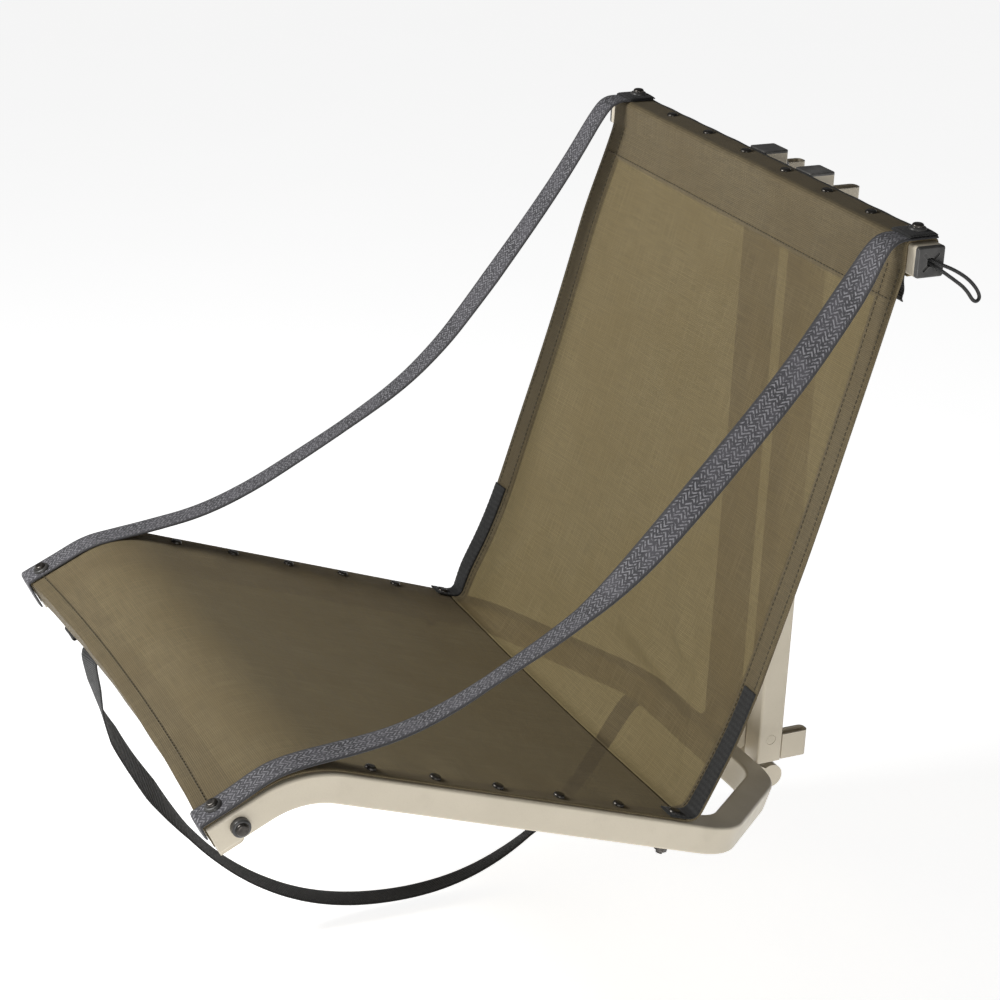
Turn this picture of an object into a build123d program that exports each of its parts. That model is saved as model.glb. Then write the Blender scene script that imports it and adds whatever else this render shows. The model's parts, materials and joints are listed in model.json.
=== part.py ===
from build123d import *
import os
from math import cos, radians, sin, tan

os.makedirs("parts", exist_ok=True)

# Hang-on folding sling seat for a hunting blind or stand. Millimetres, +Z up, +Y towards the stand
# behind, the sitter faces -Y. The origin lies midway between the two uprights, in the plane of
# their rear faces (the plane that meets the stand), level with the hinge pin.

# ---------------------------------------------------------------- driving dimensions
TUBE = 25.4                 # every frame tube is 1 inch square
WALL = 1.6
TUBE_CORNER = 2.4           # outer corner radius of the tube section

# back frame
UPRIGHT_X = 38.1            # centre of each upright, so 50.8 lies between them
UPRIGHT_TOP = 541.8
UPRIGHT_BOTTOM = -23.5
CAP_LIP = 2.5
BAR_LENGTH = 508.0          # top crossbar, 20 inches
BAR_Y = -42.0
BAR_Z = 529.2
BAR_BOLT_X = 32.0           # bolts that hold the crossbar to the uprights
BAR_BOLT_R = 3.0
END_CAP_LIP = 4.0

# hanger loops behind the uprights
LOOP_WIDTH = 12.7
LOOP_DEPTH = 28.0
LOOP_HEIGHT = 25.6
LOOP_WALL = 1.9
UPPER_LOOP_Z = 515.8
LOWER_LOOP_Z = -9.8

# hinge
PIVOT_Y = -TUBE / 2
SEAT_SLOPE = 19.23          # degrees that the seat rails rise towards the front
PIN_R = 5.0
PIN_RUNNING = 0.05          # radial clearance of the barrel on the pin
BARREL_R = 9.0
HUB_R = 11.0
LUG_X = 24.0                # outer faces of the two hinge lugs
LUG_THICK = 6.0

# seat frame in its own flat frame: u forward of the pin, w above it
RAIL_X = 235.3
RAIL_W = -TUBE              # the rails' centreline lies one tube size under the pin
REAR_U = 43.2               # rear crossbar
REAR_HALF = 112.0           # where the rear crossbar would meet the 45 degree corners
CORNER_U = REAR_U + RAIL_X - REAR_HALF
CORNER_R = 60.0
DROP_U = 569.2              # where the front ends turn down
DROP_ANGLE = 45.0
DROP_R = 80.0
DROP_LENGTH = 80.2
CROSS_ALONG = 57.0          # front cross tube, measured down the turned ends
STOP_U, STOP_W = -16.4, -35.8
STOP_R = 11.5               # round stop bar behind the rear crossbar
STOP_WALL = 2.0
EAR_THICK = 6.3
EAR_WIDTH = 10.0

# sling, webbing and fasteners
SLING = 1.5                 # coated mesh
SLING_HALF = 244.0
AIR = 0.3                   # between cloth and the tube it passes over
CREASE_U = 212.0            # where the seat panel meets the back panel
WEB = 2.0
WEB_WIDTH = 25.4
STRAP_X = 232.0             # side straps, rail screws and corner screws
EDGE_STRIP = 1.2            # reinforcing strip sewn on at each end of the crease
EDGE_STRIP_WIDTH = 18.0
SCREW_R = 2.1
HEAD_R = 4.9
HEAD = 2.6
SHANK = 10.0
COLLAR_R = 7.4              # domed collars under the four corner screws
COLLAR = 3.0
PAD = 1.8                   # doubled webbing over the upper strap ends
TAB = 3.2                   # tabs welded under the turned rail ends
TOP_SCREWS = 8              # places along the crossbar; the two end ones hold the side straps
TOP_SCREW_Y = -39.5
RAIL_SCREWS = 5
RAIL_SCREW_FIRST = 274.5
RAIL_SCREW_PITCH = 58.75
CREASE_BOLT_X = 235.0
CREASE_BOLT_U = 219.5
CREASE_BOLT_R = 3.0
CORNER_SCREW_ALONG = 65.8
FRONT_BOLT_R = 4.0
CARRY_X = -110.0
CORD_R = 1.5

CLOTH_UNDER = TUBE / 2 + AIR                # inner face of the cloth, from a tube's centre
CLOTH_OVER = CLOTH_UNDER + SLING            # outer face
SEAT_UNDER = RAIL_W + CLOTH_UNDER           # the same two faces on the flat of the seat
SEAT_OVER = RAIL_W + CLOTH_OVER

SEAT = Pos(0, PIVOT_Y, 0) * Rot(-SEAT_SLOPE, 0, 0)      # flat seat frame to part frame
MIRROR = (-1, 1)


# ---------------------------------------------------------------- helpers
def flat(x, u, w):
    """Point of the flat seat frame."""
    return (x, -u, w)


def drop(along, over=0.0):
    """u, w at a distance down the turned front ends, and a height square to them."""
    a = radians(DROP_ANGLE)
    return (DROP_U + along * cos(a) + over * sin(a), RAIL_W - along * sin(a) + over * cos(a))


def side(u, w):
    """y, z in the part frame of a point of the seat frame."""
    a = radians(SEAT_SLOPE)
    return (PIVOT_Y - u * cos(a) + w * sin(a), u * sin(a) + w * cos(a))


def tube_section(size=TUBE, wall=WALL, corner=TUBE_CORNER):
    inner = size - 2 * wall
    return RectangleRounded(size, size, corner) - RectangleRounded(inner, inner, corner - wall)


def tube_x(length):
    """Square tube along X, centred on the origin."""
    return Rot(0, 90, 0) * extrude(tube_section(), length / 2, both=True)


def rod_x(radius, x0, x1):
    return Pos((x0 + x1) / 2, 0, 0) * Rot(0, 90, 0) * Cylinder(radius, x1 - x0)


def ribbon(points, radii, thick, width):
    """Band along a rounded y, z path, thickened to the left of it and spread along X."""
    band = offset(FilletPolyline(*points, radius=radii), amount=thick, side=Side.LEFT)
    return extrude(Plane.YZ * make_face(band), width / 2, both=True)


def screw(shank=SHANK, shank_r=SCREW_R, head_r=HEAD_R, head=HEAD):
    """Button-head screw standing on z = 0, shank down."""
    button = Pos(0, 0, head / 2) * Cylinder(head_r, head)
    rim = button.edges().filter_by(GeomType.CIRCLE).sort_by(Axis.Z)[-1]
    return fillet(rim, head * 0.8) + Pos(0, 0, -shank / 2) * Cylinder(shank_r, shank)


def drilled(solid, places, radius=SCREW_R, depth=SHANK):
    """Holes under screws: each place is a location whose z = 0 is under the screw's head."""
    for place in places:
        solid = solid - place * Pos(0, 0, -depth / 2) * Cylinder(radius + 0.1, depth + 1)
    return solid


def save(name, *solids):
    shape = Compound(children=[s for item in solids for s in item.solids()])
    export_step(shape, f"parts/{name}.step")
    print(f"{name:22s} {len(shape.solids()):2d} solids {shape.volume / 1000:8.2f} cm3")


# ---------------------------------------------------------------- where the screws stand
cloth_top = BAR_Z + CLOTH_OVER
pad_top = cloth_top + AIR + WEB + AIR + PAD
places_x = [STRAP_X * (2 * i / (TOP_SCREWS - 1) - 1) for i in range(TOP_SCREWS)]
top_places = [Pos(x, TOP_SCREW_Y, cloth_top) for x in places_x[1:-1]]
top_corner_places = [Pos(s * STRAP_X, TOP_SCREW_Y, pad_top) for s in MIRROR]
rail_places = [Pos(*flat(s * STRAP_X, RAIL_SCREW_FIRST + i * RAIL_SCREW_PITCH, SEAT_OVER))
               for s in MIRROR for i in range(RAIL_SCREWS)]
corner_u, corner_w = drop(CORNER_SCREW_ALONG, CLOTH_OVER + AIR + WEB)
front_corner_places = [Pos(*flat(s * STRAP_X, corner_u, corner_w)) * Rot(DROP_ANGLE, 0, 0)
                       for s in MIRROR]
crease_top = SEAT_OVER + AIR + EDGE_STRIP
crease_places = [Pos(*flat(s * CREASE_BOLT_X, CREASE_BOLT_U, crease_top)) for s in MIRROR]
bar_bolt_places = [Pos(s * BAR_BOLT_X, 0, BAR_Z) * Rot(-90, 0, 0) for s in MIRROR]
cross_u, cross_w = drop(CROSS_ALONG)
CROSS = Pos(*flat(0, cross_u, cross_w)) * Rot(DROP_ANGLE, 0, 0)
carry_front = CROSS * Pos(CARRY_X, 0, -CLOTH_OVER - AIR - WEB) * Rot(180, 0, 0)
carry_rear = Pos(*flat(CARRY_X, REAR_U, RAIL_W - TUBE / 2 - AIR - WEB)) * Rot(180, 0, 0)

# ---------------------------------------------------------------- back frame: steel
upright = Pos(0, PIVOT_Y, (UPRIGHT_TOP + UPRIGHT_BOTTOM) / 2) * extrude(
    tube_section(), (UPRIGHT_TOP - UPRIGHT_BOTTOM) / 2, both=True)
for s, name in zip(MIRROR, ("left_upright", "right_upright")):
    post = Pos(s * UPRIGHT_X, 0, 0) * upright
    post -= Pos(0, PIVOT_Y, 0) * rod_x(PIN_R + 0.02, -60, 60)
    save(name, drilled(post, bar_bolt_places, BAR_BOLT_R, 80))

plug = TUBE - 2 * WALL - 0.4
cap_lip = extrude(RectangleRounded(TUBE, TUBE, TUBE_CORNER), CAP_LIP)
cap_lip = fillet(cap_lip.edges().group_by(Axis.Z)[-1], 1.2)
cap = cap_lip + Pos(0, 0, -8) * extrude(RectangleRounded(plug, plug, 0.8), 8)
cap -= Pos(0, 0, -9) * extrude(Rectangle(plug - 4, plug - 4), 7)
save("upright_caps", *[Pos(s * UPRIGHT_X, PIVOT_Y, UPRIGHT_TOP) * cap for s in MIRROR])

bar = Pos(0, BAR_Y, BAR_Z) * tube_x(BAR_LENGTH)
bar = drilled(bar, top_places + top_corner_places)
bar -= [place * Pos(0, 0, -30) * Cylinder(BAR_BOLT_R + 0.1, 30) for place in bar_bolt_places]
save("top_crossbar", bar)

bar_rear = BAR_Y + TUBE / 2
standoff = -TUBE - bar_rear
spacer = Cylinder(8.0, standoff) - Cylinder(BAR_BOLT_R + 0.1, standoff + 1)
save("crossbar_spacers", *[Pos(s * BAR_BOLT_X, bar_rear + standoff / 2, BAR_Z)
                           * Rot(90, 0, 0) * spacer for s in MIRROR])
bar_bolt = screw(44.0, BAR_BOLT_R, 5.2, 3.0)
bar_bolt -= Pos(0, 0, 2.0) * extrude(RegularPolygon(2.3, 6), 2)
save("crossbar_bolts", *[place * bar_bolt for place in bar_bolt_places])

end_lip = extrude(RectangleRounded(TUBE, TUBE, TUBE_CORNER), END_CAP_LIP)
end_lip = fillet(end_lip.edges().group_by(Axis.Z)[-1], 1.6)
end_lip -= [Pos(0, 0, END_CAP_LIP) * Rot(0, 0, turn) * Box(20, 2.4, 2.4) for turn in (45, 135)]
end_cap = end_lip + Pos(0, 0, -10) * extrude(RectangleRounded(plug, plug, 0.8), 10)
end_at = Pos(BAR_LENGTH / 2, BAR_Y, BAR_Z) * Rot(0, 90, 0)
save("left_end_cap", mirror(end_at * end_cap, about=Plane.YZ))
save("right_end_cap", end_at * (end_cap - Cylinder(3.8, 60)))

# hanger loops: folded strip welded to the rear faces
loop = Pos(0, LOOP_DEPTH / 2, 0) * Rectangle(LOOP_WIDTH, LOOP_DEPTH)
loop = fillet(loop.vertices().group_by(Axis.Y)[-1], 5.0)
gap = Pos(0, (LOOP_DEPTH - LOOP_WALL) / 2 - 1, 0) * Rectangle(LOOP_WIDTH - 2 * LOOP_WALL,
                                                            LOOP_DEPTH - LOOP_WALL + 2)
gap = fillet(gap.vertices().group_by(Axis.Y)[-1], 5.0 - LOOP_WALL)
loop = extrude(loop - gap, LOOP_HEIGHT / 2, both=True)
loop_x = UPRIGHT_X + TUBE / 2 - LOOP_WIDTH / 2
for z, name in ((UPPER_LOOP_Z, "upper_hanger_loops"), (LOWER_LOOP_Z, "lower_hanger_loops")):
    save(name, *[Pos(s * loop_x, 0, z) * loop for s in MIRROR])

# hinge pin, flush with the uprights, and the washers beside the lugs
pin_half = UPRIGHT_X + TUBE / 2
pin = rod_x(PIN_R, -pin_half, pin_half)
pin = chamfer(pin.edges().filter_by(GeomType.CIRCLE), 0.6)
save("hinge_pin", Pos(0, PIVOT_Y, 0) * pin)
inner_face = UPRIGHT_X - TUBE / 2
washer = rod_x(9.0, LUG_X + 0.2, inner_face - 0.2) - rod_x(PIN_R + 0.1, 0, 60)
save("hinge_washers", *[Pos(0, PIVOT_Y, 0) * (washer if s > 0 else mirror(washer, about=Plane.YZ))
                        for s in MIRROR])

# ---------------------------------------------------------------- seat frame: steel
end_u, end_w = drop(DROP_LENGTH)
half = [(end_u, end_w), (DROP_U, RAIL_W), (CORNER_U, RAIL_W)]
route = [flat(-RAIL_X, u, w) for u, w in half]
route += [flat(-REAR_HALF, REAR_U, RAIL_W), flat(REAR_HALF, REAR_U, RAIL_W)]
route += [flat(RAIL_X, u, w) for u, w in reversed(half)]
route = FilletPolyline(*route, radius=[DROP_R] + [CORNER_R] * 4 + [DROP_R])
section = Plane(origin=route @ 0, z_dir=route % 0, x_dir=(1, 0, 0)) * tube_section()
seat_tube = sweep(section, path=route)
seat_tube = drilled(seat_tube, rail_places + front_corner_places)
seat_tube = drilled(seat_tube, crease_places, CREASE_BOLT_R, 50)
seat_tube = drilled(seat_tube, [carry_rear])
seat_tube -= CROSS * rod_x(FRONT_BOLT_R + 0.1, -300, 300)
save("seat_tube", SEAT * seat_tube)

cross_half = RAIL_X - TUBE / 2
cross_tube = CROSS * tube_x(2 * cross_half)
save("front_cross_tube", SEAT * drilled(cross_tube, [carry_front]))
insert = RectangleRounded(plug, plug, 0.8) - Circle(FRONT_BOLT_R)
insert = Rot(0, 90, 0) * extrude(insert, 20)
insert = Pos(cross_half - 20, 0, 0) * insert
save("cross_tube_inserts", *[SEAT * CROSS * (insert if s > 0 else mirror(insert, about=Plane.YZ))
                             for s in MIRROR])
rail_face = RAIL_X + TUBE / 2
collar = Pos(0, 0, 3) * Cylinder(7.8, 6)
collar = fillet(collar.edges().filter_by(GeomType.CIRCLE).sort_by(Axis.Z)[-1], 2.0)
collar -= Cylinder(FRONT_BOLT_R + 0.1, 40)
front_bolt = Pos(0, 0, 6) * screw(46.0, FRONT_BOLT_R, 5.4, 2.6)
collar_at = Pos(rail_face, 0, 0) * Rot(0, 90, 0)
for shape, name in ((collar, "front_bolt_collars"), (front_bolt, "front_bolts")):
    right = collar_at * shape
    save(name, *[SEAT * CROSS * (right if s > 0 else mirror(right, about=Plane.YZ))
                 for s in MIRROR])
tab = Pos(0, -12, -TUBE / 2 - TAB / 2) * Box(20, 22, TAB)
tab = fillet(tab.edges().filter_by(Axis.Z).group_by(Axis.Y)[-1], 5.0)
save("front_end_tabs", *[SEAT * CROSS * Pos(s * RAIL_X, 0, 0) * tab for s in MIRROR])

# hinge lugs, barrel and the round stop bar
lug = make_hull(Circle(HUB_R).edges() + (Pos(-(REAR_U - TUBE / 2) + 4, RAIL_W)
                                         * Rectangle(8, TUBE - 3)).edges())
lug = extrude(Plane.YZ * lug, LUG_THICK)
lug -= rod_x(PIN_R + PIN_RUNNING, -60, 60)
save("hinge_lugs", *[SEAT * Pos(x, 0, 0) * lug for x in (-LUG_X, LUG_X - LUG_THICK)])
barrel_half = LUG_X - LUG_THICK
barrel = rod_x(BARREL_R, -barrel_half, barrel_half) - rod_x(PIN_R + PIN_RUNNING, -60, 60)
save("hinge_barrel", SEAT * barrel)

ear_x = UPRIGHT_X + TUBE / 2 - EAR_THICK
rear_face = REAR_U - TUBE / 2
ear_reach = rear_face - STOP_U
ear_rise = ear_reach * tan(radians(10))
ear = Pos(-STOP_U, STOP_W) * Circle(STOP_R)
strip = Pos(-STOP_U, STOP_W) * Rot(0, 0, -10) * Pos(-ear_reach / 2, 0) * Rectangle(
    ear_reach + 6, EAR_WIDTH)
ear += strip & (Pos(-rear_face + 50, STOP_W) * Rectangle(100, 100))
ear = extrude(Plane.YZ * ear, EAR_THICK)
save("stop_bar_ears", *[SEAT * Pos(x, 0, 0) * ear for x in (-ear_x - EAR_THICK, ear_x)])
stop_bar = rod_x(STOP_R, -ear_x, ear_x) - rod_x(STOP_R - STOP_WALL, -60, 60)
save("stop_bar", SEAT * Pos(*flat(0, STOP_U, STOP_W)) * stop_bar)

# ---------------------------------------------------------------- sling
# Seat panel: a flat sheet over both rails and the turned front ends, with a sleeve round the cross tube.
turn = tan(radians(DROP_ANGLE / 2))
front_edge = drop(CROSS_ALONG + CLOTH_OVER, CLOTH_UNDER)
sheet = ribbon([(-front_edge[0], front_edge[1]),
                (-DROP_U - CLOTH_UNDER * turn, SEAT_UNDER),
                (-CREASE_U - 0.4, SEAT_UNDER)],
               DROP_R + CLOTH_UNDER, SLING, 2 * SLING_HALF)
sleeve = RectangleRounded(2 * CLOTH_OVER, 2 * CLOTH_OVER, TUBE_CORNER + AIR + SLING)
sleeve -= RectangleRounded(2 * CLOTH_UNDER, 2 * CLOTH_UNDER, TUBE_CORNER + AIR)
sleeve = Rot(0, 90, 0) * extrude(sleeve, cross_half - AIR, both=True)
sling_seat = sheet + CROSS * sleeve
sling_seat = drilled(sling_seat, rail_places + front_corner_places + [carry_front])
sling_seat = drilled(sling_seat, crease_places, CREASE_BOLT_R, 50)
save("sling_seat", SEAT * sling_seat)

# Back panel: a sleeve round the top crossbar and a gently curved sheet down to the crease.
back_path = [side(CREASE_U, SEAT_UNDER), side(CREASE_U - 11, SEAT_UNDER), (-166.0, 136.0),
             (-112.0, 308.0), (BAR_Y - CLOTH_UNDER, BAR_Z - CLOTH_UNDER + 4)]
back_radii = [12.0, 200.0, 400.0]
back_sheet = ribbon(back_path, back_radii, SLING, 2 * SLING_HALF)
back_sleeve = RectangleRounded(2 * CLOTH_OVER, 2 * CLOTH_OVER, TUBE_CORNER + AIR + SLING)
back_sleeve -= RectangleRounded(2 * CLOTH_UNDER, 2 * CLOTH_UNDER, TUBE_CORNER + AIR)
back_sleeve = Rot(0, 90, 0) * extrude(back_sleeve, SLING_HALF, both=True)
sling_back = back_sheet + Pos(0, BAR_Y, BAR_Z) * back_sleeve
sling_back -= [Pos(s * BAR_BOLT_X, bar_rear, BAR_Z) * Rot(90, 0, 0) * Cylinder(8.4, 6)
               for s in MIRROR]
sling_back = drilled(sling_back, top_places + top_corner_places)
save("sling_back", sling_back)

# Reinforcing strips over the ends of the crease, held by the crease bolts.
strip_path = [side(CREASE_BOLT_U + 8, SEAT_UNDER), *back_path[1:3], (-157.5, 163.1)]
lift = SLING + AIR
strip = (ribbon(strip_path, back_radii[:2], lift + EDGE_STRIP, EDGE_STRIP_WIDTH)
         - ribbon(strip_path, back_radii[:2], lift, EDGE_STRIP_WIDTH + 2))
crease_holes = [SEAT * place for place in crease_places]
for s, name in zip(MIRROR, ("left_crease_strip", "right_crease_strip")):
    save(name, drilled(Pos(s * CREASE_BOLT_X, 0, 0) * strip, crease_holes, CREASE_BOLT_R, 50))

# ---------------------------------------------------------------- webbing
# Side straps from the front corners of the seat, over the rails, up to the ends of the crossbar.
over = CLOTH_OVER + AIR
strap_path = [side(*drop(CROSS_ALONG + 20, over)), side(*drop(17.7, over)), (-452.0, 185.5),
              (-262.0, 293.0), (BAR_Y - 30, cloth_top + AIR), (BAR_Y + 13, cloth_top + AIR)]
side_strap = ribbon(strap_path, [DROP_R + over, 150.0, 150.0, 14.0], WEB, WEB_WIDTH)
strap_holes = [SEAT * place for place in front_corner_places] + top_corner_places
for s, name in zip(MIRROR, ("left_side_strap", "right_side_strap")):
    save(name, drilled(Pos(s * STRAP_X, 0, 0) * side_strap, strap_holes))
print("side strap length", round(FilletPolyline(*strap_path, radius=[DROP_R + over, 150, 150, 14]).length))

# Carry strap, hanging slack under the seat from the front sleeve to the rear crossbar.
under = -CLOTH_OVER - AIR
rear_under = RAIL_W - TUBE / 2 - AIR - WEB
carry_path = [side(*drop(CROSS_ALONG - 12, under)), side(*drop(CROSS_ALONG + 17, under)),
              (-603.0, 40.0), (-541.0, -66.0), (-478.0, -136.0), (-396.0, -182.0), (-296.0, -193.0),
              (-215.0, -172.0), (-140.0, -118.0), side(REAR_U + 14, rear_under),
              side(REAR_U - 10, rear_under)]
carry_radii = [9.0, 90.0, 120.0, 110.0, 120.0, 110.0, 90.0, 120.0, 8.0]
carry_strap = Pos(CARRY_X, 0, 0) * ribbon(carry_path, carry_radii, WEB, WEB_WIDTH)
carry_ends = [SEAT * carry_front, SEAT * carry_rear]
save("carry_strap", drilled(carry_strap, carry_ends))
print("carry strap length", round(FilletPolyline(*carry_path, radius=carry_radii).length))
save("strap_tail", Pos(222.0, BAR_Y + 8, BAR_Z - CLOTH_OVER - AIR - 14) * Box(14, 1.6, 28))

pad = Box(27, 26, PAD)
pad = fillet(pad.edges().filter_by(Axis.X).group_by(Axis.Z)[-1], 1.2)
save("strap_end_pads", *[drilled(Pos(s * STRAP_X, BAR_Y, pad_top - PAD / 2) * pad, top_corner_places)
                         for s in MIRROR])

# Short folded tail of webbing sewn under the front hem.
folded = Pos(-165.0, -5.5, under - WEB) * Box(WEB_WIDTH, 27, 2 * WEB)
folded = fillet(folded.edges().filter_by(Axis.X).group_by(Axis.Y)[0], WEB - 0.1)
save("front_strap_tail", SEAT * CROSS * folded)

# ---------------------------------------------------------------- fasteners
button = screw()
save("top_screws", *[place * button for place in top_places])
corner_collar = Cylinder(COLLAR_R, COLLAR, align=(Align.CENTER, Align.CENTER, Align.MIN))
corner_collar = fillet(corner_collar.edges().group_by(Axis.Z)[-1], 2.2)
corner_collar -= Cylinder(SCREW_R + 0.1, 3 * COLLAR)
corner_screw = Pos(0, 0, COLLAR) * screw(SHANK + COLLAR)
for shape, kind in ((corner_collar, "collars"), (corner_screw, "screws")):
    save(f"top_corner_{kind}", *[place * shape for place in top_corner_places])
    save(f"front_corner_{kind}", *[SEAT * place * shape for place in front_corner_places])
save("rail_screws", *[SEAT * place * button for place in rail_places])
save("carry_strap_screws", *[place * button for place in carry_ends])
crease_bolt = screw(TUBE + 12.0, CREASE_BOLT_R, 5.6, 2.8)
save("crease_bolts", *[SEAT * place * crease_bolt for place in crease_places])
nut = extrude(RegularPolygon(5.77, 6), 5.0)
nut = nut + Pos(0, 0, 5.0) * Cylinder(7.0, 1.2, align=(Align.CENTER, Align.CENTER, Align.MIN))
nut -= Cylinder(CREASE_BOLT_R + 0.02, 40)
save("crease_nuts", *[SEAT * Pos(*flat(s * CREASE_BOLT_X, CREASE_BOLT_U,
                                       RAIL_W - TUBE / 2 - 6.2)) * nut for s in MIRROR])

# ---------------------------------------------------------------- shock cord at the right end
cord_x = BAR_LENGTH / 2 + 10.5
hole_y = BAR_Y
cord_route = [(239.0, hole_y, BAR_Z + 1.65), (cord_x, hole_y, BAR_Z + 1.65),
              (cord_x, -22.0, 522.5), (cord_x - 1, -4.5, 511.0), (cord_x - 2, 6.5, 497.2),
              (cord_x - 2, 0.6, 492.5), (cord_x - 1, -10.0, 506.0), (cord_x, -24.5, 516.0),
              (cord_x, hole_y, BAR_Z - 1.65), (239.0, hole_y, BAR_Z - 1.65)]
cord_radii = [5.0, 20.0, 20.0, 3.3, 3.3, 18.0, 20.0, 5.0]
cord_path = FilletPolyline(*cord_route, radius=cord_radii)
cord = sweep(Plane(origin=cord_path @ 0, z_dir=cord_path % 0) * Circle(CORD_R), path=cord_path)
save("shock_cord_loop", cord)
print("shock cord length", round(cord_path.length), "radii", cord_radii)
ratio = cord.volume / (3.14159 * CORD_R ** 2 * cord_path.length)
print("tube volume over section times length", round(ratio, 4))
knot = Pos(239.0 - 6.0, hole_y, BAR_Z) * Sphere(6.0)
knot -= Pos(241.0, hole_y, BAR_Z) * Box(4, 20, 20)
save("shock_cord_knot", knot)
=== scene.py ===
import json
from math import cos, pi, radians, sin

import bpy
import numpy as np
from mathutils import Matrix, Vector


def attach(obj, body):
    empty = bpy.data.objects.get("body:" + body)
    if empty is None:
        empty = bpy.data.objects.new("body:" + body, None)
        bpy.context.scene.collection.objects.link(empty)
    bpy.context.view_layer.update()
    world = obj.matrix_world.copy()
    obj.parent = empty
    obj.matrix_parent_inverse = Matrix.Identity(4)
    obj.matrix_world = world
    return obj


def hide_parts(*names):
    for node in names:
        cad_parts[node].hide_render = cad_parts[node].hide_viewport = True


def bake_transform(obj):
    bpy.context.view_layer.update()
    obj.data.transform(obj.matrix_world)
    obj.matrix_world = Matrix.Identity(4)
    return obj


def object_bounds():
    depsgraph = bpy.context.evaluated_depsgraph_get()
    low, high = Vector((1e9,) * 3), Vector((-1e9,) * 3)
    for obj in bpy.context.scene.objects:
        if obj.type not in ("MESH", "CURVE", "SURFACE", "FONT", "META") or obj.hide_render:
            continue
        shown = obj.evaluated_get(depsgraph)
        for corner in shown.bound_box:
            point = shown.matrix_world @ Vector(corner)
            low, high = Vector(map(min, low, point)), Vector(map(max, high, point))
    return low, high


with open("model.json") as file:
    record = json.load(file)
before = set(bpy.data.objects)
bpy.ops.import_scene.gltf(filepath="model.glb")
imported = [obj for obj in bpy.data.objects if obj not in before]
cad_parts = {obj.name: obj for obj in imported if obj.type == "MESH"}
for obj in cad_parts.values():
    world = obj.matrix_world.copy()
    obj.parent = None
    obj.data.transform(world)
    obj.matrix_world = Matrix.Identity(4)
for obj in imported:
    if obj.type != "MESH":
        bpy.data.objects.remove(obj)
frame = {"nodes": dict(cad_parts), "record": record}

# Folding sling seat. Metres, in the part frame: origin between the uprights at the hinge pin's height, in
# the plane of their rear faces, +Z up, the sitter faces -Y.
cad_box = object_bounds()
scene = bpy.context.scene

# ---------------------------------------------------------------- dimensions shared with the frame
PIVOT_Y = -0.0127
SLOPE = radians(19.23)
RAIL_W = -0.0254
DROP_U = 0.5692
HALF = 0.244                # half width of the sling
OVER_TUBE = 0.01375         # middle of the cloth, from a tube's centre
SEAT_MID = RAIL_W + OVER_TUBE
CREASE_U = 0.2122
STRAP_X = 0.232
CLOTH = 0.0012
HEM = 0.0009                # extra thickness of a doubled hem
GRID = 0.0042               # mesh spacing across the cloth
ROWS = 0.0034               # and along it
STITCH = 0.0046             # pitch of the stitching
WEB_WIDTH = 0.0254
SIDE_WEB = 0.0020           # thickness of the side straps
BLACK_WEB = 0.0018          # thickness of the black webbing


def side(u, w):
    """y, z of a point of the seat frame: u forward of the pin, w above it."""
    return (PIVOT_Y - u * cos(SLOPE) + w * sin(SLOPE), u * sin(SLOPE) + w * cos(SLOPE))


def drop(along, over):
    """y, z of a point beside the turned front ends: along them, and above them."""
    c = cos(radians(45))
    return side(DROP_U + (along + over) * c, RAIL_W + (over - along) * c)


# ---------------------------------------------------------------- camera
camera = bpy.data.objects.new("camera", bpy.data.cameras.new("camera"))
scene.collection.objects.link(camera)
camera.data.lens = 91.2266
camera.data.clip_end = 150
camera.matrix_world = Matrix(((0.42859, -0.36204, 0.82779, 1.82032), (0.90258, 0.13025, -0.41035, -1.18315),
                              (0.04075, 0.92302, 0.38259, 1.10180), (0, 0, 0, 1)))
scene.camera = camera


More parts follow.
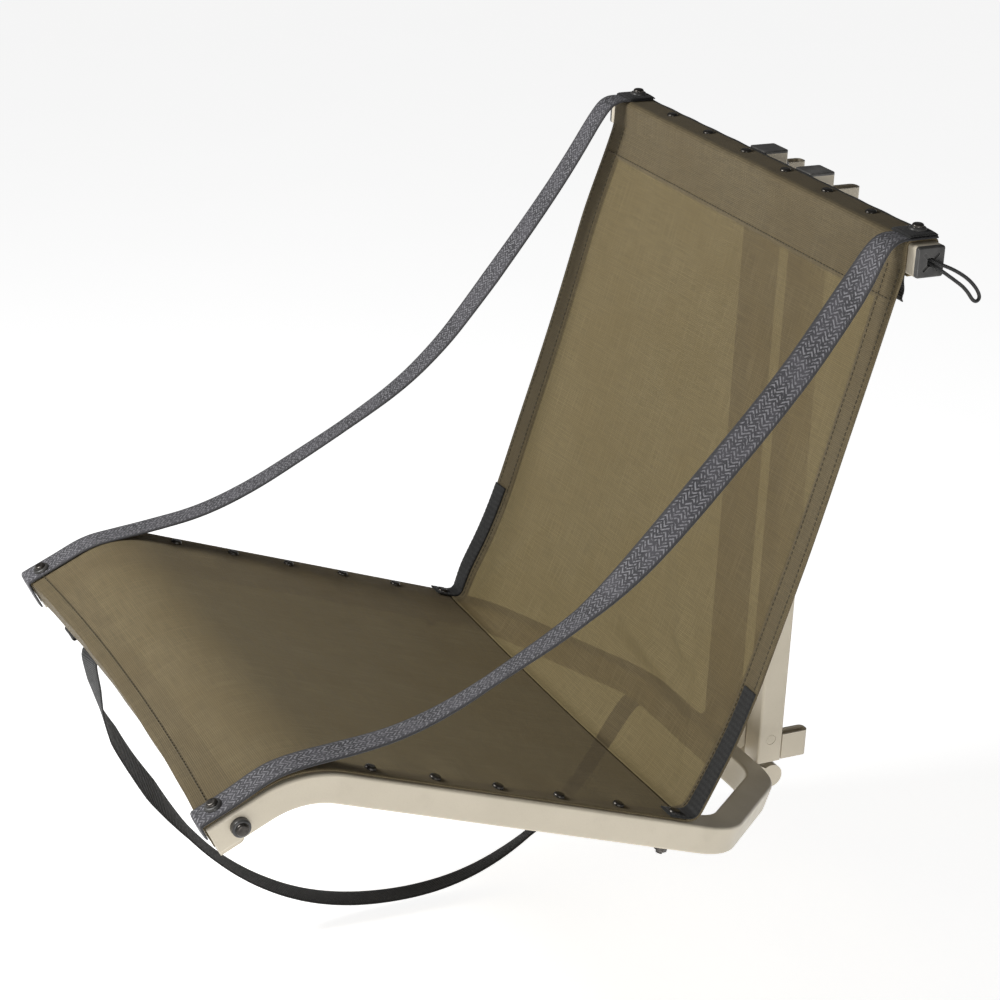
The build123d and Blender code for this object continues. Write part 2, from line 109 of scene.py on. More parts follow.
# ---------------------------------------------------------------- materials
class Paint:
    """A Principled material whose nodes are added by calling it."""

    def __init__(self, name, **values):
        self.material = bpy.data.materials.new(name)
        self.material.use_nodes = True
        self.tree = self.material.node_tree
        self.shader = self.tree.nodes["Principled BSDF"]
        for key, value in values.items():
            self.shader.inputs[key.replace("_", " ")].default_value = value

    def __call__(self, kind, out=0, settings=(), **inputs):
        made = self.tree.nodes.new("ShaderNode" + kind)
        for key, value in dict(settings).items():
            setattr(made, key, value)
        for key, value in inputs.items():
            key = int(key[1:]) if key[0] == "i" and key[1:].isdigit() else key.replace("_", " ")
            self.put(value, made.inputs[key])
        return made.outputs[out]

    def put(self, value, socket):
        if isinstance(value, bpy.types.NodeSocket):
            self.tree.links.new(value, socket)
        else:
            socket.default_value = value

    def math(self, operation, a, b=0.5):
        return self("Math", settings={"operation": operation}, i0=a, i1=b)

    def uv(self, across=1.0, along=1.0, turn=0.0):
        return self("Mapping", Vector=self("UVMap"), Scale=(across, along, 1), Rotation=(0, 0, turn))

    def noise(self, vector, scale, detail=3.0, rough=0.55):
        return self("TexNoise", Vector=vector, Scale=scale, Detail=detail, Roughness=rough)

    def wave(self, vector, pitch, direction="X"):
        return self("TexWave", settings={"bands_direction": direction}, out=1, Vector=vector,
                    Scale=2 * pi / (20 * pitch))

    def ramp(self, value, low, high, bottom=0.0, top=1.0):
        return self("MapRange", settings={"interpolation_type": "SMOOTHSTEP"}, Value=value, From_Min=low,
                    From_Max=high, To_Min=bottom, To_Max=top)

    def mix(self, factor, a, b, blend="MIX"):
        return self("Mix", out=2, settings={"data_type": "RGBA", "blend_type": blend}, i0=factor,
                    i6=a if isinstance(a, bpy.types.NodeSocket) else (*a, 1),
                    i7=b if isinstance(b, bpy.types.NodeSocket) else (*b, 1))

    def bump(self, height, distance, strength=1.0, normal=None):
        made = self.tree.nodes.new("ShaderNodeBump")
        made.inputs["Strength"].default_value = strength
        made.inputs["Distance"].default_value = distance
        self.put(height, made.inputs["Height"])
        if normal is not None:
            self.put(normal, made.inputs["Normal"])
        return made.outputs[0]

    def edges(self, radius, low=0.02, high=0.22):
        """Mask of a part's outer edges, from the difference between a rounded normal and the true one."""
        soft = self("Bevel", settings={"samples": 4}, Radius=radius)
        hard = self("NewGeometry", out=1)
        dot = self("VectorMath", settings={"operation": "DOT_PRODUCT"}, out=1, i0=soft, i1=hard)
        return self.ramp(self.math("SUBTRACT", 1.0, dot), low, high)

    def let_through(self, cover, tint):
        """Open weave: the threads cover this share, and the rest shows what is behind, tinted."""
        clear = self.tree.nodes.new("ShaderNodeBsdfTransparent")
        clear.inputs["Color"].default_value = (*tint, 1)
        blend = self.tree.nodes.new("ShaderNodeMixShader")
        blend.inputs[0].default_value = cover
        self.tree.links.new(clear.outputs[0], blend.inputs[1])
        self.tree.links.new(self.shader.outputs[0], blend.inputs[2])
        self.tree.links.new(blend.outputs[0], self.tree.nodes["Material Output"].inputs["Surface"])

    def done(self, colour=None, rough=None, normal=None):
        for value, key in ((colour, "Base Color"), (rough, "Roughness"), (normal, "Normal")):
            if value is not None:
                self.put(value, self.shader.inputs[key])
        return self.material


def powder_coat():
    m = Paint("tan_powder_coat", Specular_IOR_Level=0.45, Coat_Weight=0.08, Coat_Roughness=0.3)
    place = m("TexCoord", out=3)
    broad = m.noise(place, 9, 4)
    speck = m.noise(place, 700, 2)
    colour = m.mix(m.ramp(broad, 0.35, 0.68), (0.520, 0.465, 0.365), (0.570, 0.512, 0.405))
    colour = m.mix(m.ramp(speck, 0.62, 0.75, 0, 0.25), colour, (0.42, 0.37, 0.28))
    edge = m.math("MULTIPLY", m.edges(0.0016), m.ramp(m.noise(place, 60), 0.4, 0.6, 0.25, 0.8))
    colour = m.mix(edge, colour, (0.70, 0.65, 0.54))
    dirt = m.math("MULTIPLY", m.ramp(m.noise(place, 28, 6), 0.55, 0.75), 0.16)
    colour = m.mix(dirt, colour, (0.30, 0.26, 0.19))
    rough = m.ramp(m.noise(place, 45), 0.3, 0.7, 0.36, 0.52)
    return m.done(colour, rough, m.bump(m.noise(place, 420, 3), 0.00012, 0.7))


def sling_mesh(name, cover, lift=1.0):
    """Coated open mesh: two thread directions, slubs, faint blotches, and light through its holes."""
    m = Paint(name, Sheen_Weight=0.04, Sheen_Roughness=0.5, Specular_IOR_Level=0.15)
    if cover < 1:
        m.let_through(cover, (0.78, 0.70, 0.46))
    warp, weft = m.wave(m.uv(), 0.0017), m.wave(m.uv(), 0.0015, "Y")
    weave = m.math("MULTIPLY", warp, weft)
    grid = m.math("MAXIMUM", warp, weft)
    slub_u = m.noise(m.uv(34, 620), 1, 3)
    slub_v = m.noise(m.uv(620, 26), 1, 3)
    blotch = m.noise(m.uv(), 11, 5)
    base = [c * lift for c in (0.222, 0.176, 0.100)]
    colour = m.mix(m.ramp(slub_u, 0.3, 0.7), [c * 0.82 for c in base], [c * 1.15 for c in base])
    colour = m.mix(m.ramp(slub_v, 0.42, 0.75, 0, 0.65), colour, [c * 1.34 for c in base])
    colour = m.mix(m.ramp(blotch, 0.36, 0.66, 0, 0.35), colour, [0.80 * c * t for c, t in
                                                                 zip(base, (1.06, 0.98, 0.84))])
    holes = m.ramp(weave, 0.0, 0.35, 0.55, 0)
    colour = m.mix(holes, colour, [c * 0.42 for c in base])
    height = m.math("ADD", m.math("MULTIPLY", grid, 0.6), m.math("MULTIPLY", slub_v, 0.5))
    rough = m.ramp(slub_u, 0.3, 0.7, 0.62, 0.80)
    return m.done(colour, rough, m.bump(height, 0.0005, 0.8))


def grey_webbing():
    """Tubular webbing: light and dark yarns in herringbone, dense dark selvedges."""
    m = Paint("grey_webbing", Sheen_Weight=0.08, Specular_IOR_Level=0.35)
    across = m("SeparateXYZ", out=0, Vector=m("UVMap"))
    along = m("SeparateXYZ", out=1, Vector=m("UVMap"))
    zig = m.math("PINGPONG", across, 0.0042)
    skew = m.math("ADD", along, m.math("MULTIPLY", zig, 1.1))
    place = m("CombineXYZ", X=skew, Y=across)
    twill = m.wave(place, 0.0038)
    rows = m.wave(m.uv(), 0.0016)
    speck = m.noise(m.uv(420, 300), 1, 2)
    pattern = m.math("MULTIPLY", m.ramp(twill, 0.35, 0.65), m.ramp(speck, 0.40, 0.56))
    colour = m.mix(pattern, (0.040, 0.039, 0.043), (0.225, 0.222, 0.235))
    colour = m.mix(m.ramp(m.noise(m.uv(), 40), 0.35, 0.7, 0, 0.35), colour, (0.13, 0.125, 0.14))
    edge = m.math("ABSOLUTE", across)
    colour = m.mix(m.ramp(edge, 0.0098, 0.0116), colour, (0.045, 0.044, 0.046))
    height = m.math("ADD", m.math("MULTIPLY", rows, 0.4), pattern)
    return m.done(colour, m.ramp(speck, 0.3, 0.7, 0.7, 0.85), m.bump(height, 0.0004, 0.7))


def black_webbing(name, pitch, tone=1.0):
    m = Paint(name, Sheen_Weight=0.10, Specular_IOR_Level=0.35)
    ribs = m.wave(m.uv(), pitch, "Y")
    yarn = m.wave(m.uv(), 0.0013)
    fuzz = m.noise(m.uv(300, 300), 1, 3)
    colour = m.mix(m.math("MULTIPLY", ribs, yarn), (0.010 * tone, 0.010 * tone, 0.009 * tone),
                   (0.032 * tone, 0.031 * tone, 0.030 * tone))
    colour = m.mix(m.ramp(fuzz, 0.58, 0.78, 0, 0.35), colour, (0.060 * tone, 0.058 * tone, 0.055 * tone))
    height = m.math("ADD", ribs, m.math("MULTIPLY", yarn, 0.4))
    return m.done(colour, m.ramp(fuzz, 0.3, 0.7, 0.6, 0.8), m.bump(height, 0.0005, 0.8))


def moulded_plastic(name, tone=1.0):
    m = Paint(name, Specular_IOR_Level=0.45)
    place = m("TexCoord", out=3)
    grain = m.noise(place, 1100, 2)
    colour = m.mix(m.ramp(m.noise(place, 60, 4), 0.35, 0.7), [c * tone for c in (0.030, 0.029, 0.028)],
                   [c * tone for c in (0.058, 0.056, 0.053)])
    colour = m.mix(m.math("MULTIPLY", m.edges(0.0012), 0.6), colour, (0.16, 0.155, 0.15))
    return m.done(colour, m.ramp(m.noise(place, 180), 0.3, 0.7, 0.27, 0.45), m.bump(grain, 0.0001, 0.6))


def black_steel():
    m = Paint("black_steel", Metallic=0.85, Specular_IOR_Level=0.5)
    place = m("TexCoord", out=3)
    worn = m.math("MULTIPLY", m.edges(0.0007), m.ramp(m.noise(place, 400), 0.35, 0.6, 0.2, 1))
    colour = m.mix(m.ramp(m.noise(place, 240, 4), 0.35, 0.7), (0.045, 0.041, 0.037), (0.085, 0.078, 0.070))
    colour = m.mix(worn, colour, (0.42, 0.40, 0.37))
    return m.done(colour, m.ramp(m.noise(place, 300), 0.3, 0.7, 0.25, 0.45),
                  m.bump(m.noise(place, 900), 0.00008, 0.5))


def zinc_steel():
    m = Paint("zinc_steel", Metallic=1.0)
    place = m("TexCoord", out=3)
    spangle = m("TexVoronoi", out=1, Vector=place, Scale=320)
    colour = m.mix(m("SeparateColor", Color=spangle), (0.42, 0.42, 0.43), (0.62, 0.61, 0.60))
    colour = m.mix(m.ramp(m.noise(place, 130, 5), 0.55, 0.75, 0, 0.5), colour, (0.30, 0.27, 0.23))
    return m.done(colour, m.ramp(m.noise(place, 260), 0.3, 0.7, 0.24, 0.5),
                  m.bump(m.noise(place, 700), 0.0001, 0.5))


def white_nylon():
    m = Paint("white_nylon", Subsurface_Weight=0.1, Subsurface_Scale=0.002)
    place = m("TexCoord", out=3)
    colour = m.mix(m.ramp(m.noise(place, 90, 4), 0.4, 0.75), (0.72, 0.71, 0.67), (0.60, 0.57, 0.50))
    rings = m.noise(place, 800)
    return m.done(colour, m.ramp(rings, 0.3, 0.7, 0.4, 0.6), m.bump(rings, 0.0001, 0.4))


def braid():
    m = Paint("shock_cord", Specular_IOR_Level=0.35, Sheen_Weight=0.1)
    place = m("TexCoord", out=3)
    one = m.wave(m("Mapping", Vector=place, Rotation=(0, 0.9, 0.8)), 0.0011)
    two = m.wave(m("Mapping", Vector=place, Rotation=(0.3, -0.9, -0.8)), 0.0011)
    cross = m.math("MULTIPLY", one, two)
    colour = m.mix(cross, (0.012, 0.012, 0.012), (0.055, 0.054, 0.052))
    return m.done(colour, m.ramp(cross, 0, 1, 0.75, 0.55), m.bump(cross, 0.0003, 0.8))


def thread(name, colour):
    m = Paint(name, Specular_IOR_Level=0.4)
    place = m("TexCoord", out=3)
    ply = m.wave(m("Mapping", Vector=place, Rotation=(0.6, 0.7, 0.5)), 0.0008)
    tint = m.mix(ply, [c * 0.55 for c in colour], colour)
    return m.done(tint, m.ramp(m.noise(place, 900), 0.3, 0.7, 0.5, 0.75), m.bump(ply, 0.0002, 0.6))


def floor_material():
    m = Paint("studio_floor", Specular_IOR_Level=0.1, Emission_Strength=0.80)
    place = m("TexCoord", out=3)
    tone = m.mix(m.ramp(m.noise(place, 3), 0.3, 0.7), (0.86, 0.86, 0.86), (0.88, 0.88, 0.88))
    m.shader.inputs["Emission Color"].default_value = (1, 1, 1, 1)
    return m.done(tone, m.ramp(m.noise(place, 400), 0.3, 0.7, 0.8, 0.9))


finish = {"tan_powder_coat": powder_coat(), "black_plastic": moulded_plastic("black_plastic"),
          "black_steel": black_steel(), "zinc_steel": zinc_steel(), "white_nylon": white_nylon(),
          "shock_cord": braid(),
          "grey_webbing": grey_webbing(), "black_webbing": black_webbing("black_webbing", 0.0022, 0.7)}
# the upright caps get a copy of the black plastic drawn 2.6 times lighter
lightened = moulded_plastic("weathered_black_plastic", 2.6)
mesh_open = sling_mesh("sling_mesh", 0.70, 0.87)
mesh_seat = sling_mesh("sling_mesh_seat", 0.86, 0.86)
mesh_doubled = sling_mesh("sling_mesh_doubled", 1, 0.66)
ribbed = black_webbing("crease_webbing", 0.0050, 0.8)
sling_thread = thread("sling_thread", (0.085, 0.068, 0.038))
strap_thread = thread("strap_thread", (0.035, 0.035, 0.035))

for part in frame["record"]["subparts"]:
    data = frame["nodes"][part["node"]].data
    material = finish.get(part["material_slot"], mesh_open)
    if part["node"] == "upright_caps":
        material = lightened
    for i in range(max(1, len(data.materials))):
        if i < len(data.materials):
            data.materials[i] = material
        else:
            data.materials.append(material)


# ---------------------------------------------------------------- mesh helpers
def add(name, verts, faces, materials, uvs=None, face_material=None):
    mesh = bpy.data.meshes.new(name)
    mesh.from_pydata([tuple(v) for v in verts], [], faces)
    for material in materials:
        mesh.materials.append(material)
    if uvs is not None:
        layer = mesh.uv_layers.new(name="UVMap")
        index = np.empty(len(mesh.loops), int)
        mesh.loops.foreach_get("vertex_index", index)
        layer.data.foreach_set("uv", np.asarray(uvs, np.float32)[index].ravel())
    if face_material is not None:
        mesh.polygons.foreach_set("material_index", np.asarray(face_material, np.int32))
    mesh.polygons.foreach_set("use_smooth", [True] * len(mesh.polygons))
    mesh.update()
    made = bpy.data.objects.new(name, mesh)
    scene.collection.objects.link(made)
    return made


def flow(points, steps=24):
    """Smooth line near the given y, z points, as cloth takes it."""
    pts = [np.array(p, float) for p in points]
    mids = [pts[0]] + [(a + b) / 2 for a, b in zip(pts[1:-2], pts[2:-1])] + [pts[-1]]
    line = [(1 - t) ** 2 * a + 2 * t * (1 - t) * b + t * t * c
            for a, b, c in zip(mids, pts[1:-1], mids[1:]) for t in np.arange(steps) / steps]
    return np.array(line + [pts[-1]])


class Line:
    """A line measured by its own length, with its direction."""

    def __init__(self, points):
        self.points = np.asarray(points, float)
        run = np.linalg.norm(np.diff(self.points, axis=0), axis=1)
        self.at = np.concatenate([[0], np.cumsum(run)])
        self.length = self.at[-1]

    def __call__(self, s):
        return np.stack([np.interp(s, self.at, c) for c in self.points.T], axis=-1)

    def along(self, s, step=0.002):
        d = self(np.asarray(s) + step) - self(np.asarray(s) - step)
        return d / np.linalg.norm(d, axis=-1, keepdims=True)

    def where(self, column, value):
        """Length at which a coordinate first reaches a value."""
        c = self.points[:, column]
        i = np.argmax((c[:-1] - value) * (c[1:] - value) <= 0)
        return self.at[i] + (self.at[i + 1] - self.at[i]) * (value - c[i]) / (c[i + 1] - c[i] + 1e-12)


def slab(name, grid, thick, materials, lift=None, patch=None):
    """Closed sheet round a grid of points (rows along, columns across), thickened on both faces. lift adds
    to the front face, patch picks each face's material, and UVs are metres across and along."""
    g = np.asarray(grid, float)
    rows, cols = g.shape[:2]
    normal = np.cross(np.gradient(g, axis=1), np.gradient(g, axis=0))
    normal /= np.linalg.norm(normal, axis=2, keepdims=True)
    thick = np.broadcast_to(thick, (rows, cols))
    lift = np.zeros((rows, cols)) if lift is None else lift
    front = g + normal * (thick / 2 + lift)[..., None]
    back = g - normal * (thick / 2)[..., None]
    u = np.linalg.norm(np.diff(g, axis=1), axis=2)
    u = np.concatenate([np.zeros((rows, 1)), np.cumsum(u, axis=1)], axis=1)
    u = u - u[:, -1:] / 2
    v = np.linalg.norm(np.diff(g, axis=0), axis=2).mean(axis=1)
    v = np.broadcast_to(np.concatenate([[0], np.cumsum(v)])[:, None], (rows, cols))
    uvs = np.stack([u, v], axis=2).reshape(-1, 2)
    n = rows * cols
    index = np.arange(n).reshape(rows, cols)
    a, b, c, d = index[:-1, :-1], index[:-1, 1:], index[1:, 1:], index[1:, :-1]
    faces = np.stack([a, b, c, d], axis=2).reshape(-1, 4)
    rim = np.concatenate([index[0, :], index[1:, -1], index[-1, -2::-1], index[-2:0:-1, 0]])
    after = np.roll(rim, -1)
    skirt = np.stack([rim, rim + n, after + n, after], axis=1)
    faces = np.concatenate([faces, faces[:, ::-1] + n, skirt]).tolist()
    which = None
    if patch is not None:
        p = np.asarray(patch)[:-1, :-1].ravel()
        which = np.concatenate([p, p, np.full(len(skirt), int(p.max()))])
    return add(name, np.concatenate([front.reshape(-1, 3), back.reshape(-1, 3)]), faces, materials,
               np.concatenate([uvs, uvs]), which)


def smooth(t):
    t = np.clip(t, 0, 1)
    return t * t * (3 - 2 * t)


def ripple(x, y, seed, count=9, low=8.0, high=60.0):
    """Sum of a few seeded plane waves, about -1 to 1."""
    rng = np.random.default_rng(seed)
    total = 0
    for _ in range(count):
        angle, phase = rng.uniform(0, pi), rng.uniform(0, 2 * pi)
        k = rng.uniform(low, high)
        total = total + np.sin(k * (x * cos(angle) + y * sin(angle)) + phase)
    return total / count ** 0.5 / 1.4


def grid_lines(low, high, step, doubled=()):
    """Even positions, with close pairs where a hem's edge steps up."""
    values = list(np.linspace(low, high, int(round((high - low) / step)) + 1))
    for d in doubled:
        values = [v for v in values if abs(v - d) > 0.0012] + [d - 0.0003, d + 0.0003]
    return np.array(sorted(values))


def stitches(name, places, normals, directions, length=0.0034, radius=0.00050):
    """One mesh of short raised threads: each lies at a place, along a direction."""
    verts, faces = [], []
    ring = 6
    profile = [(-0.5, 0.25), (-0.36, 0.9), (0.0, 1.15), (0.36, 0.9), (0.5, 0.25)]
    for p, n, d in zip(places, normals, directions):
        p, n, d = (Vector(q) for q in (p, n, d))
        s = d.cross(n).normalized()
        base = len(verts)
        for t, r in profile:
            centre = p + d * (t * length) + n * (radius * (0.55 * r))
            verts += [centre + (s * cos(2 * pi * k / ring) + n * sin(2 * pi * k / ring)) * radius * r
                      for k in range(ring)]
        for i in range(len(profile) - 1):
            faces += [[base + i * ring + k, base + i * ring + (k + 1) % ring,
                       base + (i + 1) * ring + (k + 1) % ring, base + (i + 1) * ring + k] for k in range(ring)]
        faces += [[base + k for k in reversed(range(ring))],
                  [base + (len(profile) - 1) * ring + k for k in range(ring)]]
    return add(name, verts, faces, [sling_thread])


# ---------------------------------------------------------------- sling: seat panel
seat_line = Line(flow([side(CREASE_U, SEAT_MID), side(0.30, SEAT_MID), side(0.42, SEAT_MID),
                       side(0.4975, SEAT_MID), side(DROP_U + 0.0057, SEAT_MID), drop(0.0615, OVER_TUBE),
                       drop(0.0715, OVER_TUBE)]))
SEAT_HEM = seat_line.length - 0.0135


def along3(line, s):
    """Direction of a y, z line, as x, y, z."""
    t = line.along(s)
    return np.stack([np.zeros_like(s), t[..., 0], t[..., 1]], axis=-1)


def crease_drop(x):
    """How far the cloth hangs under the straight crease, in the middle, as a y, z move."""
    middle = np.clip(1 - (np.abs(x) / 0.222) ** 2, 0, 1)[..., None]
    return middle * np.array([0.0, 0.0030, -0.0075])


def seat_shape(x, s):
    """Point on the middle of the seat cloth and the direction square to it: it lies on the rails and
    sags between them, most towards the crease. Its front corners reach a little further down the rails."""
    p, t = seat_line(s), seat_line.along(s)
    normal = np.stack([np.zeros_like(s), -t[..., 1], t[..., 0]], axis=-1) * -1
    between = np.clip(1 - (np.abs(x) / 0.222) ** 2, 0, 1)
    fall = 0.0040 * np.sin(pi * np.clip(s / 0.42, 0, 1)) * between ** 0.8
    fall = fall - 0.00055 * ripple(x, s, 3, low=20, high=75) * between * smooth(s / 0.02)
    near_rail = np.exp(-((np.abs(x) - STRAP_X) / 0.006) ** 2)
    for k in range(5):
        fall = fall + 0.0004 * near_rail * np.exp(-((s - 0.0623 - 0.05875 * k) / 0.006) ** 2)
    puckers = np.exp(-((np.abs(x) - 0.212) / 0.016) ** 2) * np.sin((s - 0.0623) * 2 * pi / 0.05875 + pi / 2)
    fall = fall + 0.0006 * puckers * smooth((0.33 - s) / 0.03)
    point = np.stack([x, p[..., 0], p[..., 1]], axis=-1)
    point = point + crease_drop(x) * (1 - smooth(s / 0.34))[..., None]
    front = smooth((s - seat_line.length + 0.055) / 0.05) * (x / 0.222) ** 2
    point = point + along3(seat_line, s) * (0.0080 * np.clip(front, 0, 1))[..., None]
    return point - normal * np.asarray(fall)[..., None], normal


def seat_grid(xs, ss):
    x, s = np.meshgrid(xs, ss)
    return x, s, seat_shape(x, s)[0]


xs = grid_lines(-HALF, HALF, GRID)
ss = grid_lines(0, seat_line.length, ROWS, doubled=(SEAT_HEM,))
x, s, grid = seat_grid(xs, ss)
hem = np.where(s > SEAT_HEM, HEM, 0)
sling_seat = slab("sling_seat_cloth", grid, CLOTH, [mesh_seat, mesh_doubled], hem, (s > SEAT_HEM).astype(int))

# sleeve of the front hem, round the cross tube between the rails
wrap = Line(flow([drop(0.0712, 0.0130), drop(0.0712, 0.004), drop(0.0710, -0.008), drop(0.0710, -0.0140),
                  drop(0.064, -0.0143), drop(0.050, -0.0143), drop(0.0430, -0.0140), drop(0.0428, -0.006),
                  drop(0.0428, 0.006), drop(0.0428, 0.0122)]))
xs = grid_lines(-0.2218, 0.2218, 0.006)
x, s = np.meshgrid(xs, np.linspace(0, wrap.length, 46))
p = wrap(s)
t = wrap.along(s)
out = 0.0004 * ripple(x, s * 3, 11, low=25, high=90)
flare = 0.0080 * (x / 0.222) ** 2 * (1 - smooth((s - 0.022) / 0.020))
down = np.array(drop(1, 0)) - np.array(drop(0, 0))
sleeve_grid = np.stack([x, p[..., 0] + out * t[..., 1] + flare * down[0],
                        p[..., 1] - out * t[..., 0] + flare * down[1]], axis=-1)
seat_sleeve = slab("sling_seat_sleeve", sleeve_grid, 0.0010, [mesh_doubled])


def row(shape, xs, s, lift):
    """Stitch places, normals and directions along one row of the cloth."""
    x = np.asarray(xs, float)
    s = np.broadcast_to(np.asarray(s, float), x.shape)
    p, n = shape(x, s)
    d = np.gradient(p, axis=0)
    d /= np.linalg.norm(d, axis=1, keepdims=True)
    return p + n * lift, n, d


def seam(name, shape, rows):
    groups = [row(shape, *r) for r in rows]
    return stitches(name, *[np.concatenate([g[i] for g in groups]) for i in range(3)])


cross = np.arange(-0.236, 0.2361, STITCH)
seat_seam = seam("sling_seat_stitching", seat_shape,
                 [(cross, SEAT_HEM + 0.0022, CLOTH / 2 + HEM)])

# ---------------------------------------------------------------- sling: back panel
back_line = Line(flow([side(CREASE_U, SEAT_MID), side(0.2010, SEAT_MID), (-0.1977, 0.0737), (-0.1667, 0.1363),
                       (-0.1390, 0.2245), (-0.1125, 0.3082), (-0.0835, 0.4170), (-0.0590, 0.5080),
                       (-0.05575, 0.5200), (-0.05575, 0.5350), (-0.05575, 0.54295), (-0.0480, 0.54295),
                       (-0.0360, 0.54295), (-0.02825, 0.54295), (-0.02825, 0.5350), (-0.02825, 0.5230),
                       (-0.02825, 0.51545), (-0.0360, 0.51545), (-0.0470, 0.51545), (-0.0535, 0.5150)]))
BAR_AT = back_line.where(1, 0.5200)             # where the cloth meets the crossbar
TOP_AT = back_line.where(1, 0.5425)             # where it turns over the crossbar
TOP_HEM = BAR_AT - 0.030
SIDE_HEM = HALF - 0.025

# creases of the slack cloth above the seat: place across and along, slant, (reach) and height
UPWARD_FOLDS = ((-0.18, 0.07, 0.55, 0.0026), (0.17, 0.08, -0.5, 0.0030), (0.10, 0.14, -0.8, 0.0024),
                (-0.07, 0.12, 0.35, 0.0020), (0.03, 0.16, 0.15, 0.0022))
CROSS_FOLDS = ((0.072, 0.092, -0.13, 0.070, 0.0058), (-0.015, 0.102, -0.10, 0.045, -0.0032),
               (0.120, 0.118, -0.28, 0.040, 0.0034), (0.060, 0.076, -0.10, 0.070, -0.0036))


def back_shape(x, s):
    """Point on the middle of the back cloth, and the direction square to it: free side edges, a shallow
    belly between them, the left edge hanging a little forward, creases near the seat and puckers under
    the crossbar."""
    p, t = back_line(s), back_line.along(s)
    normal = np.stack([np.zeros_like(s), t[..., 1], -t[..., 0]], axis=-1) * -1
    free = smooth(s / 0.045) * smooth((BAR_AT - s) / 0.10)
    middle = 1 - (x / HALF) ** 2
    belly = -0.0085 * middle * free * (0.55 + 0.45 * smooth((0.30 - s) / 0.25))
    edge = 0.0050 * smooth((-x - 0.10) / 0.14) * free
    wrinkle = 0.00055 * ripple(x * 1.6, s * 0.45, 5, low=18, high=70) * free
    folds = 0
    for x0, s0, slant, size in UPWARD_FOLDS:
        across = (x - x0) - slant * (s - s0)
        folds = folds + size * np.exp(-(across / 0.010) ** 2) * np.exp(-((s - s0) / 0.055) ** 2)
    for x0, s0, slant, reach, size in CROSS_FOLDS:
        across = (s - s0) - slant * (x - x0)
        folds = folds + size * np.exp(-(across / 0.0075) ** 2) * np.exp(-((x - x0) / reach) ** 2)
    screws = 0
    for k in range(1, 7):
        x0 = STRAP_X * (2 * k / 7 - 1)
        gap = np.abs(s - (TOP_AT + 0.0125)) + 0.006
        dent = np.exp(-((x - x0) / 0.006) ** 2) * np.exp(-((s - TOP_AT - 0.012) / 0.008) ** 2)
        screws = screws - 0.0007 * dent
        screws = screws + 0.0006 * np.sin((x - x0) / gap * 1.5) * np.exp(-((x - x0) / 0.022) ** 2) * np.exp(
            -((s - BAR_AT - 0.004) / 0.012) ** 2)
    point = np.stack([x, p[..., 0], p[..., 1]], axis=-1)
    move = belly + edge + (wrinkle + folds) * smooth(s / 0.02) + screws
    point = point + crease_drop(x) * (1 - smooth(s / 0.10))[..., None]
    return point + normal * np.asarray(move)[..., None], normal


xs = grid_lines(-HALF, HALF, GRID, doubled=(-SIDE_HEM, SIDE_HEM))
ss = np.concatenate([grid_lines(0, BAR_AT - 0.002, ROWS, doubled=(TOP_HEM,)),
                     np.linspace(BAR_AT, back_line.length, 64)])
x, s = np.meshgrid(xs, ss)
doubled = (np.abs(x) > SIDE_HEM) | (s > TOP_HEM)
grid = back_shape(x, s)[0]
sling_back = slab("sling_back_cloth", grid, CLOTH, [mesh_open, mesh_doubled],
                  np.where(doubled & (s < BAR_AT + 0.06), HEM, 0), doubled.astype(int))
up = np.arange(0.012, BAR_AT, STITCH)
back_seam = seam("sling_back_stitching", back_shape,
                 [(cross, TOP_HEM + 0.0035, CLOTH / 2 + HEM)]
                 + [(np.full(len(up), sx * (SIDE_HEM + off)), up, CLOTH / 2 + HEM)
                    for sx in (-1, 1) for off in (0.0035, 0.0205)])

# dark piping along the rear top edge of the sleeve
pipe = np.linspace(-HALF + 0.002, HALF - 0.002, 150)
ring = 10
verts = [(px, -0.0283 + 0.0009 * cos(2 * pi * k / ring), 0.5434 + 0.0002 * sin(px * 160)
          + 0.0009 * sin(2 * pi * k / ring)) for px in pipe for k in range(ring)]
faces = [[i * ring + k, i * ring + (k + 1) % ring, (i + 1) * ring + (k + 1) % ring, (i + 1) * ring + k]
         for i in range(len(pipe) - 1) for k in range(ring)]
faces += [list(reversed(range(ring))), [(len(pipe) - 1) * ring + k for k in range(ring)]]
piping = add("sling_back_piping", verts, faces, [strap_thread])


# ---------------------------------------------------------------- webbing
def band(name, line, centre_x, width, thick, material, twist=lambda s: 0 * s, drift=lambda s: 0 * s,
         ribs=None, step=0.004, cols=13):
    """Webbing along a y, z line: width lies along X, turned about the line by twist (radians)."""
    s = np.linspace(0, line.length, max(8, int(line.length / step)))
    p, t = line(s), line.along(s)
    tangent = np.stack([0 * s, t[:, 0], t[:, 1]], axis=1)
    up = np.stack([0 * s, -t[:, 1], t[:, 0]], axis=1)
    a = twist(s)[:, None]
    wide = np.cos(a) * np.array([1.0, 0, 0]) + np.sin(a) * up
    face = np.cross(wide, tangent)
    c = np.linspace(-1, 1, cols)
    centre = np.stack([centre_x + drift(s), p[:, 0], p[:, 1]], axis=1)
    grid = centre[:, None] + wide[:, None] * (c * width / 2)[None, :, None]
    cup = 0.0006 * np.sin(s * 31 + 1.3)[:, None] * (1 - c ** 2)[None, :]
    grid = grid + face[:, None] * cup[..., None]
    body = thick * (1 - 0.45 * np.abs(c) ** 8)[None, :] * np.ones((len(s), 1))
    lift = None if ribs is None else (ribs * (0.5 + 0.5 * np.cos(s * 2 * pi / 0.005)))[:, None] * np.ones(cols)
    return slab(name, grid, body, [material], lift)


def profile(points):
    """A value that runs smoothly between given lengths, as fractions."""
    at, value = zip(*points)
    return lambda s: np.interp(s / s[-1], at, np.radians(value))


